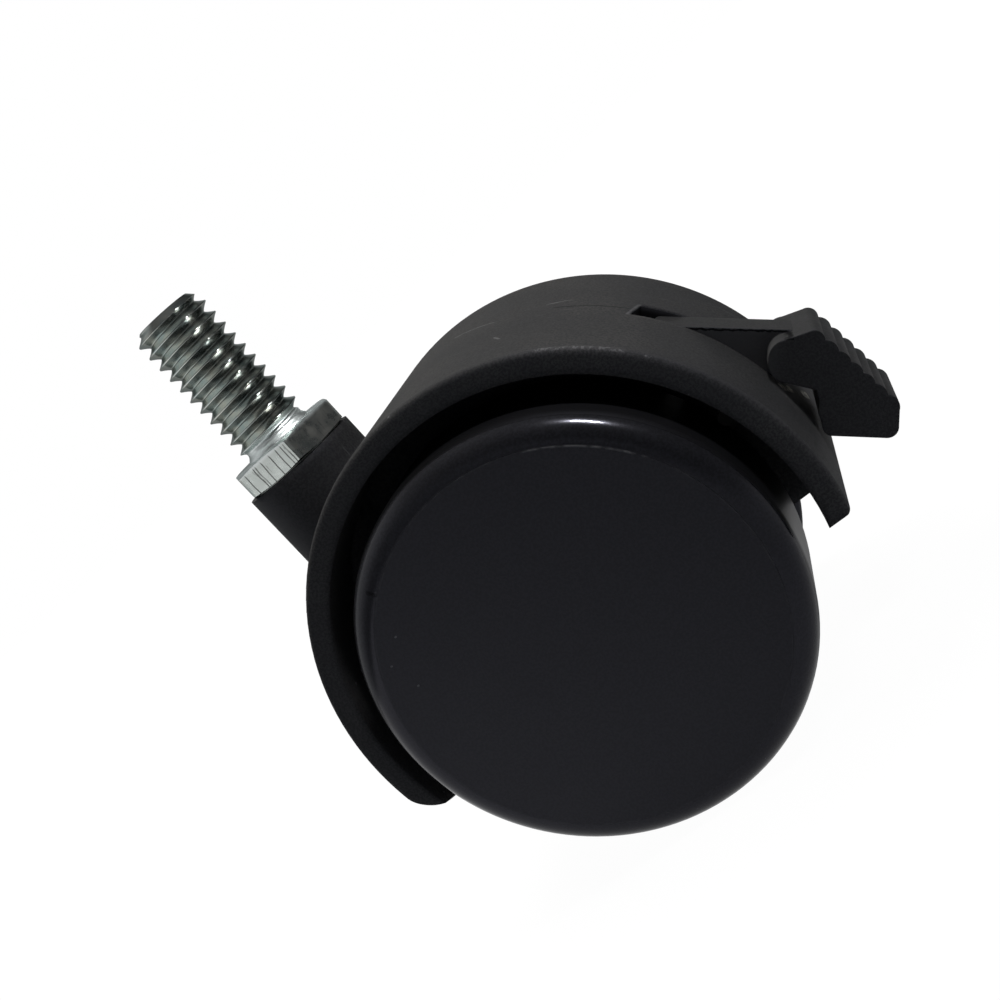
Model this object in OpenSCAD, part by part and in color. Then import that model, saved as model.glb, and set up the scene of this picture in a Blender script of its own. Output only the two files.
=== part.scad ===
// Twin-wheel furniture castor with a threaded stem and a foot brake.
// Origin on the stem axis in the seat face of the hexagon collar, +Z along the stem,
// +X toward the brake pedal, Y along the wheel axle.

/* [Mounting] */
// Thread diameter of the stem
thread_d = 7.94; // [6:0.01:10]
// Threaded length above the collar
thread_l = 16.4; // [10:0.1:40]
// Thread pitch
thread_p = 1.41; // [1:0.01:2]
// Plain neck between the collar and the thread
neck_l = 1.2; // [0.8:0.1:3]
// Chamfer at the tip of the thread
tip_chamfer = 0.4; // [0.2:0.1:1]
// Hexagon collar, across flats
hex_af = 11.6; // [10.6:0.1:12.2]
// Diameter over the turned corners of the hexagon
hex_corner_d = 13.2; // [12.6:0.1:13.4]
// Turn of the hexagon about the stem, degrees
hex_turn = -3; // [-30:1:30]
// Hexagon collar height
hex_h = 2.7; // [1.6:0.1:4]
// Height from the floor to the collar seat
mount_h = 50.3; // [48:0.1:58]
// Distance from the stem axis to the wheel axle
trail = 16; // [14:0.1:18.5]

/* [Swivel] */
// Plain shank diameter in the socket
shank_d = 7.2; // [6:0.1:9]
// Shank length below the collar
shank_l = 20; // [16:0.5:22]
// Outside diameter of the stem socket
socket_d = 12.7; // [11.8:0.1:13]
// Height of the collar above the socket rim
socket_gap = 0.15; // [0.1:0.05:0.8]
// Socket floor thickness
socket_floor = 2; // [1:0.1:3]
// Wire diameter of the snap ring
ring_wire = 1; // [0.8:0.05:1.3]
// Height of the snap ring above the shank end
ring_up = 4; // [2.5:0.5:8]
// Opening of the snap ring
ring_split = 1.6; // [1:0.1:3]

/* [Wheels] */
// Wheel diameter
wheel_d = 41.3; // [37:0.1:47]
// Width of one wheel
wheel_w = 12.3; // [10.4:0.1:16]
// Space between the two wheels
wheel_gap = 13.6; // [13.4:0.1:16]
// Rounding of the outer shoulder
shoulder_r = 2.4; // [1:0.1:3]
// Step at the edge of the flat outer face
face_step = 0.1; // [0.05:0.05:0.3]
// Rounding of the inner tread edge
inner_r = 0.7; // [0.3:0.1:1]
// Tread wall
tread_t = 2.8; // [2.4:0.1:4]
// Closed outer face
face_t = 2.3; // [1.6:0.1:3]
// Hub diameter
hub_d = 10.8; // [9:0.2:13]
// Number of ribs behind the face
rib_n = 8; // [5:1:12]
// Rib thickness
rib_t = 1.4; // [1:0.1:2]
// Step from the wheel edge down to the ribs
rib_step = 1.6; // [0.8:0.1:4]
// Ring rib between hub and tread, diameter
ring_rib_d = 23.2; // [19:0.2:26]

/* [Axle] */
// Axle diameter
axle_d = 5; // [4:0.1:6]
// Axle reach into each wheel
axle_in = 8.8; // [7:0.1:9.2]
// Width of the snap groove
groove_w = 1.6; // [1.2:0.1:2]
// Depth of the snap groove
groove_d = 0.5; // [0.3:0.05:0.7]
// Distance of the snap groove from the axle end
groove_in = 2.4; // [1.6:0.1:3]
// Diameter of the axle boss
boss_d = 10.4; // [8:0.2:12]
// End float between boss and hub
end_float = 0.4; // [0.3:0.05:0.6]

/* [Hood] */
// Radial space between tread and hood
hood_gap = 2.65; // [2.5:0.05:4]
// Hood wall
hood_t = 2.3; // [1.6:0.05:3]
// Hood width
hood_w = 30.5; // [27:0.5:35]
// Rounding of the hood edges
hood_round = 0.5; // [0.3:0.1:1.1]
// Depth of the hood below the axle
skirt = 6.1; // [5.4:0.1:8]
// Rounding of the rear end of the hood
heel_r = 4.2; // [3:0.1:5]
// Bow of the heel's lower edge across the castor, radius
heel_bow = 47; // [42:1:80]
// Rounding of the front end of the hood
toe_r = 0.7; // [0.4:0.1:1.5]
// Thickness of each web wall
web_t = 2.2; // [1.6:0.1:2.6]

/* [Brake] */
// Slope of the lever arm below the level
arm_slope = 41.9; // [38:0.5:46]
// Width of the lever arm
arm_w = 3.8; // [2.6:0.1:4]
// Height of the lever arm
arm_h = 4.2; // [3.6:0.1:4.6]
// Top of the arm below the hood crown
arm_sink = 1.2; // [0.9:0.1:1.6]
// Side play of the arm in its slot
arm_play = 0.2; // [0.15:0.05:0.4]
// Pivot position along the arm
pivot_u = 7.9; // [7.4:0.1:8.6]
// Pivot pin diameter
pin_d = 2; // [1.6:0.1:2.4]
// Round eye about the pivot, radius
eye_r = 2.7; // [2.2:0.1:2.9]
// Length of the arm past the pivot
arm_tail = 3.1; // [2.9:0.1:3.3]
// Rounding of the inner end of the arm
arm_corner = 0.6; // [0.3:0.1:1]
// Brake bar diameter
bar_d = 1.5; // [1.2:0.1:1.6]
// Brake bar length
bar_l = 19.5; // [17:0.5:24]
// Wall of the arm round the brake bar
bar_wall = 1; // [0.8:0.1:1.2]
// Distance from pivot to brake bar
bar_arm = 4.3; // [4.1:0.1:4.6]
// Space between bar and tread
brake_gap = 0.3; // [0.25:0.05:0.5]
// Lift of the lever when released, degrees
lift = 12; // [8:0.5:13]
// Upper end of the slot along the arm
slot_u = 3.1; // [2:0.1:3.4]
// Skew of the upper slot end
slot_skew = 0.9; // [0:0.1:1.2]

/* [Pedal] */
// Pedal width
pedal_w = 9; // [6:0.2:12]
// Space between pedal and hood
pedal_gap = 0.35; // [0.3:0.05:0.6]
// Pedal reach past the hood
pedal_reach = 11.6; // [11.4:0.1:12.4]
// Pedal depth below the arm top
pedal_depth = 9.1; // [8.4:0.1:10.4]
// Nose centre past the point where the arm leaves the hood
nose_u = 1.4; // [1.1:0.1:1.7]
// Nose centre below the arm top
nose_drop = 2.05; // [1.9:0.05:2.3]
// Pedal nose rounding
nose_r = 1.8; // [1.5:0.05:1.9]
// Straight height of the nose below its rounding
nose_h = 0.45; // [0.2:0.05:0.7]
// Brow centre ahead of the ribs, along the arm
brow_u = 3.5; // [3.2:0.1:3.8]
// Brow rounding
brow_r = 1; // [0.8:0.05:1.2]
// Height of the brow above the arm top
brow_up = 0.65; // [0.4:0.05:0.8]
// Back of the pedal stem past the arm's exit
waist_u = 4.4; // [4:0.1:4.7]
// Lower corner rounding
pedal_r = 1; // [0.6:0.1:1.3]
// First rib crest along the arm
crest_u = 5.35; // [5:0.05:5.4]
// First rib crest below the arm top
crest_drop = 0.5; // [0.3:0.05:0.7]
// Number of ribs on the pedal face
grip_n = 6; // [5:1:6]
// Pitch of the pedal ribs
grip_p = 1.5; // [1.3:0.02:1.54]
// Crest radius of the pedal ribs
grip_r = 1.2; // [1:0.05:1.4]
// Slope of the ribbed face from the arm
grip_a = 40; // [39.5:0.5:44]

/* [Fits] */
// Radial running clearance
run_fit = 0.05; // [0.02:0.01:0.1]
// Clearance where parts pass each other
clear = 0.4; // [0.3:0.05:0.5]

/* [Hidden] */
$fn = 96;
lap = 0.4;
wheel_r = wheel_d / 2;
axle_r = axle_d / 2;
shank_r = shank_d / 2;
thread_r = thread_d / 2;
thread_cut = thread_p * 0.6;
root_r = thread_r - thread_cut;
crest_w = thread_p / 8;
flank = thread_cut * tan(30);
thread_top = thread_l - tip_chamfer;
turns = floor((thread_top - neck_l - crest_w - flank) / thread_p);
thread_end = thread_top - turns * thread_p;
hood_ri = wheel_r + hood_gap;
hood_r = hood_ri + hood_t;
axle_z = wheel_r - mount_h;
rim_z = -hex_h - socket_gap;
bow_z = sqrt(heel_bow ^ 2 - (hood_w / 2) ^ 2) - skirt;
heel_wall = hood_t + lap;
shank_z = -hex_h - shank_l;
ring_z = shank_z + ring_up;
ring_r = shank_r - ring_wire * 0.1;
bore_r = shank_r + run_fit;
axle_l = wheel_gap + 2 * axle_in;
boss_l = wheel_gap - 2 * end_float;
slot_w = arm_w + 2 * arm_play;
web_gap = slot_w + arm_play;
web_y = web_gap / 2 + web_t;
arm_top = hood_r - arm_sink;
pivot = [pivot_u, arm_top - arm_h];
bar_rad = wheel_r + bar_d / 2 + brake_gap;
piv_rad = norm(pivot);
bar_turn = acos((piv_rad ^ 2 + bar_rad ^ 2 - bar_arm ^ 2) / (2 * piv_rad * bar_rad));
bar_ang = atan2(pivot[1], pivot[0]) - bar_turn;
bar = bar_rad * [cos(bar_ang), sin(bar_ang)];
bar_up = pivot + turn(bar - pivot, lift);
arm_exit = sqrt(hood_r ^ 2 - (arm_top - arm_h) ^ 2);
slot_end = arm_exit + clear + lap;
crest = [crest_u, -crest_drop];
hood_trim_l = hood_w + 2 * lap;

// One turn of the thread, as a ring groove of its true pitch and depth below height z
function thread_turn(z) = [[thread_r, z], [thread_r, z - crest_w],
                           [root_r, z - crest_w - flank], [root_r, z - thread_p + flank]];

function turn(p, a) = [p[0] * cos(a) - p[1] * sin(a), p[0] * sin(a) + p[1] * cos(a)];

module at_axle() {
  translate([trail, 0, axle_z]) children();
}

// Lever plane: u along the arm, w square to it, both from the axle, v across the castor
module lever_frame() {
  at_axle() rotate([0, arm_slope, 0]) rotate([90, 0, 0]) children();
}

module across(d, l, p) {
  translate([p[0], p[1], 0]) cylinder(d = d, h = l, center = true);
}

// One quarter of a disc, for rounding a corner of a profile
module quarter(r, sx, sy) {
  intersection() {
    circle(r = r);
    translate([sx > 0 ? 0 : -r, sy > 0 ? 0 : -r]) square(r);
  }
}

// Section of the hood, radius along x and width along y
module hood_section() {
  half = hood_w / 2;
  translate([hood_ri, -half]) square([hood_t - hood_round, hood_w]);
  translate([hood_ri, -half + hood_round]) square([hood_t, hood_w - 2 * hood_round]);
  for (s = [-1, 1])
    translate([hood_r - hood_round, s * (half - hood_round)]) quarter(hood_round, 1, s);
}

// Rounded lower corner of the hood end, to be cut away
module end_corner(r) {
  cx = sqrt((hood_r - r) ^ 2 - (skirt - r) ^ 2);
  k = hood_r / (hood_r - r);
  difference() {
    polygon([[cx, r - skirt], [cx, -skirt - lap], [hood_r + lap, -skirt - lap],
             [hood_r + lap, k * (r - skirt)], [k * cx, k * (r - skirt)]]);
    translate([cx, r - skirt]) circle(r = r);
  }
}

module hood_ring() {
  rotate([90, 0, 0]) rotate_extrude() hood_section();
}

// Two web walls that carry the axle, the socket and the lever pin
module web_walls() {
  difference() {
    rotate([90, 0, 0]) cylinder(r = hood_ri + lap, h = 2 * web_y, center = true);
    cube([3 * hood_r, web_gap, 3 * hood_r], center = true);
  }
}

// Space below the heel, turned about a line along the castor so that the edge is bowed and its corner round
module heel_space() {
  t = hood_r - heel_r;
  translate([0, 0, bow_z]) rotate([0, -90, 0]) rotate_extrude() difference() {
    polygon([[heel_bow, 0], [heel_bow + hood_r, 0], [heel_bow + hood_r, hood_r + lap],
             [heel_bow - heel_r, hood_r + lap], [heel_bow - heel_r, t], [heel_bow, t]]);
    translate([heel_bow - heel_r, t]) circle(r = heel_r);
  }
}

// Hood and webs, cut level below the axle, rounded at the toe and bowed at the heel
module hood_body() {
  difference() {
    union() {
      hood_ring();
      web_walls();
    }
    translate([heel_wall - hood_ri, -hood_w, -skirt - hood_r]) cube([3 * hood_r, 2 * hood_w, hood_r]);
    rotate([90, 0, 0]) linear_extrude(hood_trim_l, center = true) end_corner(toe_r);
    heel_space();
  }
}

module socket_body() {
  translate([0, 0, shank_z - clear - socket_floor])
    cylinder(d = socket_d, h = rim_z - shank_z + clear + socket_floor);
}

module socket_bore() {
  groove_r = ring_r + ring_wire / 2 + clear;
  translate([0, 0, shank_z - clear]) cylinder(r = bore_r, h = shank_l + hex_h);
  translate([0, 0, ring_z - ring_wire / 2 - clear / 2]) cylinder(r = groove_r, h = ring_wire + clear);
}

// Slot for the lever arm, with its upper end cut on a skew
module lever_slot() {
  at_axle() rotate([0, arm_slope, 0]) translate([0, 0, wheel_r * 0.5])
    linear_extrude(hood_r)
      polygon([[slot_u - slot_skew / 2, -slot_w / 2], [slot_end, -slot_w / 2],
               [slot_end, slot_w / 2], [slot_u + slot_skew / 2, slot_w / 2]]);
}

module housing() {
  mid = (bar + bar_up) / 2;
  color("dimgray") difference() {
    union() {
      at_axle() {
        hood_body();
        rotate([90, 0, 0]) cylinder(d = boss_d, h = boss_l, center = true);
      }
      socket_body();
    }
    at_axle() rotate([90, 0, 0]) cylinder(r = axle_r, h = boss_l + 2 * lap, center = true);
    socket_bore();
    lever_slot();
    lever_frame() {
      across(pin_d, 2 * web_y + 2 * lap, pivot);
      across(norm(bar_up - bar) + bar_d + 2 * clear, 2 * web_y + 2 * lap, mid);
      across(bar_d + 2 * clear, bar_l + 2 * clear, bar_up);
    }
  }
}

// Turned stem: thread in ring grooves, flared neck, bearing shoulder, shank and snap groove
module threaded_stem() {
  g = ring_wire * 0.6;
  floor_r = ring_r - ring_wire / 2 - run_fit;
  seat_r = hex_af / 2 - clear;
  neck_r = root_r + thread_cut / 3;
  color("silver") {
    rotate_extrude() polygon([
      [0, thread_l], [thread_r - tip_chamfer, thread_l],
      for (i = [0 : turns - 1]) each thread_turn(thread_top - i * thread_p),
      [thread_r, thread_end], [thread_r, thread_end - crest_w], [neck_r, thread_end - crest_w - flank],
      [neck_r, neck_l / 2], [thread_r, neck_l / 6], [thread_r, -hex_h / 2],
      [seat_r, -hex_h / 2], [seat_r, rim_z + run_fit], [shank_r, rim_z + run_fit],
      [shank_r, ring_z + g], [floor_r, ring_z + g], [floor_r, ring_z - g], [shank_r, ring_z - g],
      [shank_r, shank_z + tip_chamfer], [shank_r - tip_chamfer, shank_z], [0, shank_z]]);
    intersection() {
      translate([0, 0, -hex_h]) rotate([0, 0, hex_turn])
        cylinder(d = hex_af / cos(30), h = hex_h, $fn = 6);
      translate([0, 0, -hex_h]) cylinder(d = hex_corner_d, h = hex_h);
    }
  }
}

module snap_ring() {
  color("slategray") difference() {
    translate([0, 0, ring_z]) rotate_extrude() translate([ring_r, 0]) circle(d = ring_wire, $fn = 32);
    translate([0, -ring_split / 2, ring_z - ring_wire]) cube([2 * ring_r, ring_split, 2 * ring_wire]);
  }
}

// Axle with a snap groove and a chamfer at each end
module axle() {
  half = axle_l / 2;
  c = groove_d * 0.8;
  a = half - groove_in - groove_w / 2;
  b = half - groove_in + groove_w / 2;
  color("silver") at_axle() rotate([90, 0, 0]) rotate_extrude() polygon([
    [0, -half], [axle_r - c, -half], [axle_r, -half + c],
    [axle_r, -b], [axle_r - groove_d, -b], [axle_r - groove_d, -a], [axle_r, -a],
    [axle_r, a], [axle_r - groove_d, a], [axle_r - groove_d, b], [axle_r, b],
    [axle_r, half - c], [axle_r - c, half], [0, half]]);
}

// Wheel section, radius along x, inner edge at y = 0 and outer face at y = wheel_w
module wheel_section() {
  snap = axle_in - groove_in;
  bead_w = groove_w - 2 * clear;
  hole_r = axle_r + run_fit;
  bead_r = axle_r - groove_d + run_fit * 4;
  depth = axle_in + clear;
  tread_i = wheel_r - tread_t;
  edge_w = wheel_w - face_step;
  difference() {
    union() {
      translate([tread_i, inner_r]) square([tread_t, edge_w - shoulder_r - inner_r]);
      translate([tread_i, 0]) square([tread_t - inner_r, edge_w - shoulder_r]);
      translate([wheel_r - inner_r, inner_r]) quarter(inner_r, 1, -1);
      translate([wheel_r - shoulder_r, edge_w - shoulder_r]) quarter(shoulder_r, 1, 1);
      translate([tread_i - lap, wheel_w - face_t]) square([tread_t - shoulder_r + lap, face_t]);
      translate([tread_i - lap, edge_w - shoulder_r]) square([tread_t - shoulder_r + lap, shoulder_r]);
      translate([0, wheel_w - face_t]) square([tread_i, face_t]);
      square([hub_d / 2, wheel_w - face_t / 2]);
      translate([ring_rib_d / 2 - rib_t / 2, rib_step]) square([rib_t, wheel_w - face_t / 2 - rib_step]);
    }
    square([hole_r, snap - bead_w / 2]);
    square([bead_r, depth]);
    translate([0, snap + bead_w / 2]) square([hole_r, depth - snap - bead_w / 2]);
  }
}

module wheel_body() {
  rib_l = wheel_r - tread_t - hub_d / 2;
  rotate_extrude() wheel_section();
  for (i = [0 : rib_n - 1])
    rotate([0, 0, i * 360 / rib_n]) translate([hub_d / 2 - lap, -rib_t / 2, rib_step])
      cube([rib_l + 2 * lap, rib_t, wheel_w - face_t / 2 - rib_step]);
}

module wheel_left() {
  color("gray") at_axle() translate([0, wheel_gap / 2, 0]) rotate([-90, 0, 0]) wheel_body();
}

module wheel_right() {
  color("gray") at_axle() translate([0, -wheel_gap / 2, 0]) rotate([90, 0, 0]) wheel_body();
}

// Arm with the pivot eye and the seat of the brake bar
module arm_outline() {
  n = turn((bar - pivot) / bar_arm, -90);
  seat = bar_d / 2 + bar_wall;
  inner = pivot_u - arm_tail;
  translate([inner + arm_corner, pivot[1]]) square([arm_exit + waist_u / 2 - inner - arm_corner, arm_h]);
  translate([inner, pivot[1]]) square([arm_exit - inner, arm_h - arm_corner]);
  translate([inner + arm_corner, arm_top - arm_corner]) circle(r = arm_corner);
  translate(pivot) circle(r = eye_r);
  translate(bar) circle(r = seat);
  polygon([pivot + n * eye_r * 0.98, bar + n * seat * 0.98, bar + [seat * 0.98, 0],
           [bar[0] + seat * 1.4, pivot[1] + lap], [pivot_u, pivot[1] + lap]]);
}

// Row of rounded ribs down the pedal face
module grip_row() {
  for (i = [0 : grip_n - 1])
    translate(crest + turn([i * grip_p, -grip_r], -grip_a)) circle(r = grip_r, $fn = 48);
}

// Pedal from the point where the arm leaves the hood
module pedal_outline() {
  tip = crest + turn([(grip_n - 1) * grip_p, -grip_r], -grip_a);
  brow = [brow_u, brow_up - brow_r];
  nose = [nose_u, -nose_drop];
  chin = nose - [0, nose_h];
  under = chin[1] - nose_r;
  back = waist_u + pedal_r * 0.4;
  heel = [back + pedal_r, pedal_r - pedal_depth];
  foot = [pedal_reach - pedal_r, pedal_r - pedal_depth];
  translate([arm_exit, arm_top]) {
    translate(nose) circle(r = nose_r);
    translate(chin) circle(r = nose_r);
    translate(brow) circle(r = brow_r);
    translate(heel) circle(r = pedal_r);
    translate(foot) circle(r = pedal_r);
    grip_row();
    polygon([chin - [0, nose_r], [waist_u - nose_r * 0.2, under - nose_r * 0.3],
             [waist_u, under - nose_r * 0.85], [waist_u, heel[1] + pedal_r],
             heel - [pedal_r * 0.95, 0], heel - [0, pedal_r], foot - [0, pedal_r], foot + [pedal_r, 0],
             tip + [grip_r * 0.98, 0], tip, crest + turn([0, -grip_r], -grip_a),
             brow + brow_r * [0.5, 0.5], brow + brow_r * [-0.45, 0.88], nose + nose_r * [-0.22, 0.96],
             nose - [nose_r * 0.99, 0], chin - [nose_r * 0.99, 0]]);
  }
}

module brake_lever() {
  color("darkslategray") lever_frame() difference() {
    union() {
      linear_extrude(arm_w, center = true) arm_outline();
      difference() {
        linear_extrude(pedal_w, center = true) pedal_outline();
        cylinder(r = hood_r + pedal_gap, h = pedal_w + 2 * lap, center = true);
      }
    }
    across(pin_d + 2 * run_fit, arm_w + 2 * lap, pivot);
    across(bar_d, arm_w + 2 * lap, bar);
  }
}

module brake_bar() {
  color("silver") lever_frame() across(bar_d, bar_l, bar);
}

module lever_pin() {
  color("silver") lever_frame() across(pin_d, 2 * web_y, pivot);
}

housing();
threaded_stem();
snap_ring();
axle();
wheel_left();
wheel_right();
brake_lever();
brake_bar();
lever_pin();
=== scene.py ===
import math

import bmesh
import bpy
from mathutils import Matrix, Vector


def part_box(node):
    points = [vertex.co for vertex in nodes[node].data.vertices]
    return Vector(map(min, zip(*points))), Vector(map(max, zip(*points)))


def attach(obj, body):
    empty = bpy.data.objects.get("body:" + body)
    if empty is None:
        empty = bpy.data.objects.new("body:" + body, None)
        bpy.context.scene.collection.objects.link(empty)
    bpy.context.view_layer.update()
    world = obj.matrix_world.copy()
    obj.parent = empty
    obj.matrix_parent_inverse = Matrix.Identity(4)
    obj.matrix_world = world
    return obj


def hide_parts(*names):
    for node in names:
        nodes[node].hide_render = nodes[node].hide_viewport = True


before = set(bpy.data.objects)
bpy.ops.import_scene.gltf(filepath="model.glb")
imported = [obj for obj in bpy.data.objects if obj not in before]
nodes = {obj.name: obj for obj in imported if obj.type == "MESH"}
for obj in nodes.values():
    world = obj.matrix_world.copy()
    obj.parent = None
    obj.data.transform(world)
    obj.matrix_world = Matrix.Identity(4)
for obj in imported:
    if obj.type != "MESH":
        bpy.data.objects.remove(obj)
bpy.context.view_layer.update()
print("frame loaded", sorted(nodes))

mm = 0.001
white = (1, 1, 1, 1)
wheelLow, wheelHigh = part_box("wheel_right")
stemLow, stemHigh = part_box("threaded_stem")
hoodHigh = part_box("housing")[1]
wheelR = (wheelHigh.x - wheelLow.x) / 2
axle = Vector((wheelLow.x + wheelR, 0, wheelLow.z + wheelR))
hoodR = hoodHigh.x - axle.x
hoodHalf = hoodHigh.y

# the photograph shows the castor tipped back about its axle: x right, y away, z up
tip = math.radians(41.97)
picture = Matrix.Translation(axle) @ Matrix.Rotation(tip, 4, "Y")


# shading helpers

def newMaterial(name):
    mat = bpy.data.materials.new(name)
    mat.use_nodes = True
    tree = mat.node_tree
    tree.nodes.clear()
    out = tree.nodes.new("ShaderNodeOutputMaterial")
    bsdf = tree.nodes.new("ShaderNodeBsdfPrincipled")
    tree.links.new(bsdf.outputs["BSDF"], out.inputs["Surface"])
    return mat, tree, bsdf


def put(tree, socket, value):
    if isinstance(value, bpy.types.NodeSocket):
        tree.links.new(value, socket)
    else:
        socket.default_value = value


def calc(tree, kind, *values, clamp=False):
    n = tree.nodes.new("ShaderNodeMath")
    n.operation = kind
    n.use_clamp = clamp
    for socket, value in zip(n.inputs, values):
        put(tree, socket, value)
    return n.outputs[0]


def times(tree, total, *others):
    for value in others:
        total = calc(tree, "MULTIPLY", total, value)
    return total


def strongest(tree, values):
    total = values[0]
    for value in values[1:]:
        total = calc(tree, "MAXIMUM", total, value)
    return total


def distance(tree, a, b):
    return calc(tree, "SQRT", calc(tree, "ADD", times(tree, a, a), times(tree, b, b)))


# how far a place on a flat map lies in the direction of an angle
def toward(tree, a, b, turn):
    return calc(tree, "ADD", times(tree, a, math.cos(turn)), times(tree, b, math.sin(turn)))


def place(tree, scale=(1, 1, 1), turn=(0, 0, 0)):
    coord = tree.nodes.new("ShaderNodeTexCoord")
    n = tree.nodes.new("ShaderNodeMapping")
    tree.links.new(coord.outputs["Object"], n.inputs["Vector"])
    n.inputs["Scale"].default_value = scale
    n.inputs["Rotation"].default_value = turn
    return n.outputs["Vector"]


def axes(tree):
    n = tree.nodes.new("ShaderNodeSeparateXYZ")
    tree.links.new(place(tree), n.inputs[0])
    return n.outputs[0], n.outputs[1], n.outputs[2]


def noise(tree, vector, scale, detail=3.0, rough=0.5):
    n = tree.nodes.new("ShaderNodeTexNoise")
    tree.links.new(vector, n.inputs["Vector"])
    n.inputs["Scale"].default_value = scale
    n.inputs["Detail"].default_value = detail
    n.inputs["Roughness"].default_value = rough
    return n.outputs["Fac"]


def band(tree, value, low, high, first=0.0, last=1.0):
    n = tree.nodes.new("ShaderNodeMapRange")
    n.interpolation_type = "SMOOTHSTEP"
    put(tree, n.inputs["Value"], value)
    for key, v in (("From Min", low), ("From Max", high), ("To Min", first), ("To Max", last)):
        put(tree, n.inputs[key], v)
    return n.outputs["Result"]


# 1 between low and high, falling to 0 over the given softness on both sides
def strip(tree, value, low, high, soft):
    rise = band(tree, value, low - soft, low)
    return times(tree, rise, band(tree, value, high, high + soft, 1, 0))


def mixColor(tree, fac, a, b):
    n = tree.nodes.new("ShaderNodeMix")
    n.data_type = "RGBA"
    put(tree, n.inputs["Factor"], fac)
    put(tree, n.inputs["A"], a)
    put(tree, n.inputs["B"], b)
    return n.outputs["Result"]


def grey(v, blue=0.0):
    return (v, v, v * (1 + blue), 1)


# lays a grey over a colour where the mask is 1
def overlay(tree, base, mask, tone, share=1.0):
    return mixColor(tree, times(tree, mask, share), base, grey(tone))


def bump(tree, height, strength, depth, normal=None):
    n = tree.nodes.new("ShaderNodeBump")
    n.inputs["Strength"].default_value = strength
    n.inputs["Distance"].default_value = depth
    tree.links.new(height, n.inputs["Height"])
    if normal is not None:
        tree.links.new(normal, n.inputs["Normal"])
    return n.outputs["Normal"]


def softEdge(tree, radius):
    n = tree.nodes.new("ShaderNodeBevel")
    n.samples = 6
    n.inputs["Radius"].default_value = radius
    return n.outputs["Normal"]


def fromAxle(tree, x, z):
    return calc(tree, "SUBTRACT", x, axle.x), calc(tree, "SUBTRACT", z, axle.z)


strokeCore = 0.3  # share of a mark's width that is at full strength


# 1 on a straight mark between two points of a flat map, 0 beside it
def stroke(tree, u, v, start, end, width):
    du, dv = end[0] - start[0], end[1] - start[1]
    pu = calc(tree, "SUBTRACT", u, start[0])
    pv = calc(tree, "SUBTRACT", v, start[1])
    along = calc(tree, "ADD", times(tree, pu, du), times(tree, pv, dv))
    share = calc(tree, "DIVIDE", along, du * du + dv * dv, clamp=True)
    offU = calc(tree, "SUBTRACT", pu, times(tree, share, du))
    offV = calc(tree, "SUBTRACT", pv, times(tree, share, dv))
    return band(tree, distance(tree, offU, offV), strokeCore * width, width, 1, 0)


sheen = (0.96, 0.96, 1.14, 1)  # bluish reflections of the black plastics


def finishPlastic(tree, bsdf, look, base, rough, normal):
    put(tree, bsdf.inputs["Base Color"], base)
    put(tree, bsdf.inputs["Roughness"], rough)
    put(tree, bsdf.inputs["Normal"], normal)
    bsdf.inputs["Specular IOR Level"].default_value = look["specular"]
    bsdf.inputs["Specular Tint"].default_value = sheen


# in every look, a noise is scale, detail and roughness, a band is low, high and the values there,
# and a tone is a grey and its share; depths go inward from the crown or tread

# marks are in mm on the unrolled hood: along the crown from the stem side, then across
hoodLook = {
    "dark": 0.053, "light": (0.07, 0.06895, 0.0665, 1), "specular": 0.1, "edge": 1.1 * mm,
    "cloud": (130, 5, 0.6), "cloudBand": (0.3, 0.7), "roughBand": (0.25, 0.75, 0.64, 0.78),
    "grain": (5200, 2, 0.6), "bump": (0.4, 0.03 * mm), "markDepth": 0.8,
    "fleck": (4200, 2, 0.7), "fleckBand": (0.42, 0.58, 0.0, 0.6), "fleckTone": 0.028,
    "ragged": (2600, 2, 0.6), "wobble": (0.2, 0.8, -0.12, 0.12), "skin": (0.05 * mm, 0.3 * mm),
    "scratches": [((3.1, 4.6), (8.0, 1.6)), ((13.3, 2.6), (15.5, 3.3)), ((9.2, -6.0), (9.9, -7.4))],
    "scratchWidth": 0.16, "scratchTone": (0.16, 0.75),
    "hairScale": (210, 3000, 210), "hairTurn": (0, 0.1, 0.15), "hair": (1.0, 2, 0.4),
    "hairBand": (0.71, 0.78, 0.0, 0.6),
    "partingLine": ((14.3, 0.6), (21.2, 0.1)), "seamWidth": 0.2, "seamTone": (0.012, 0.8),
    "edgeHighlight": (0.25 * mm, 0.5 * mm, 0.3 * mm), "edgeHighlightTone": (0.095, 0.25),
    "chips": (900, 3, 0.7), "chipBand": (0.66, 0.74), "chipTone": (0.3, 0.8),
    "rim": (0.1 * mm, 0.45 * mm), "innerEdge": (2.2 * mm, 2.3 * mm, 0.12 * mm), "innerShare": 0.5,
    "flash": (0.42, 0.56, 0.03), "flashBand": (0.45, 0.6),
    "crownEdgeSpecks": ((14.2, -14.95), (21.5, -14.95)), "crownEdgeSpeckWidth": 0.4, "crownEdgeSpeckBand": (0.48, 0.6, 0.1, 0.5),
    "slotBurr": ((21.25, -2.1), (22.15, 2.1)), "burrWidth": 0.3,
    "toeFlash": [((40.5, 3.5), (41.4, 5.4)), ((37.0, -3.0), (38.4, -0.4))],
    "toeWidth": 0.6, "toeBand": (0.4, 0.5), "cream": (0.5, 0.48, 0.39, 1),
    "flankX": (-4.5 * mm, 0.5 * mm), "flankZ": (-13 * mm, -8 * mm), "flankLightTone": (0.12, 0.7),
    "slotSide": (2.6 * mm, 2.9 * mm), "slotDepth": (0.08 * mm, 0.18 * mm), "slotShadeTone": 0.006,
}


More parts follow.
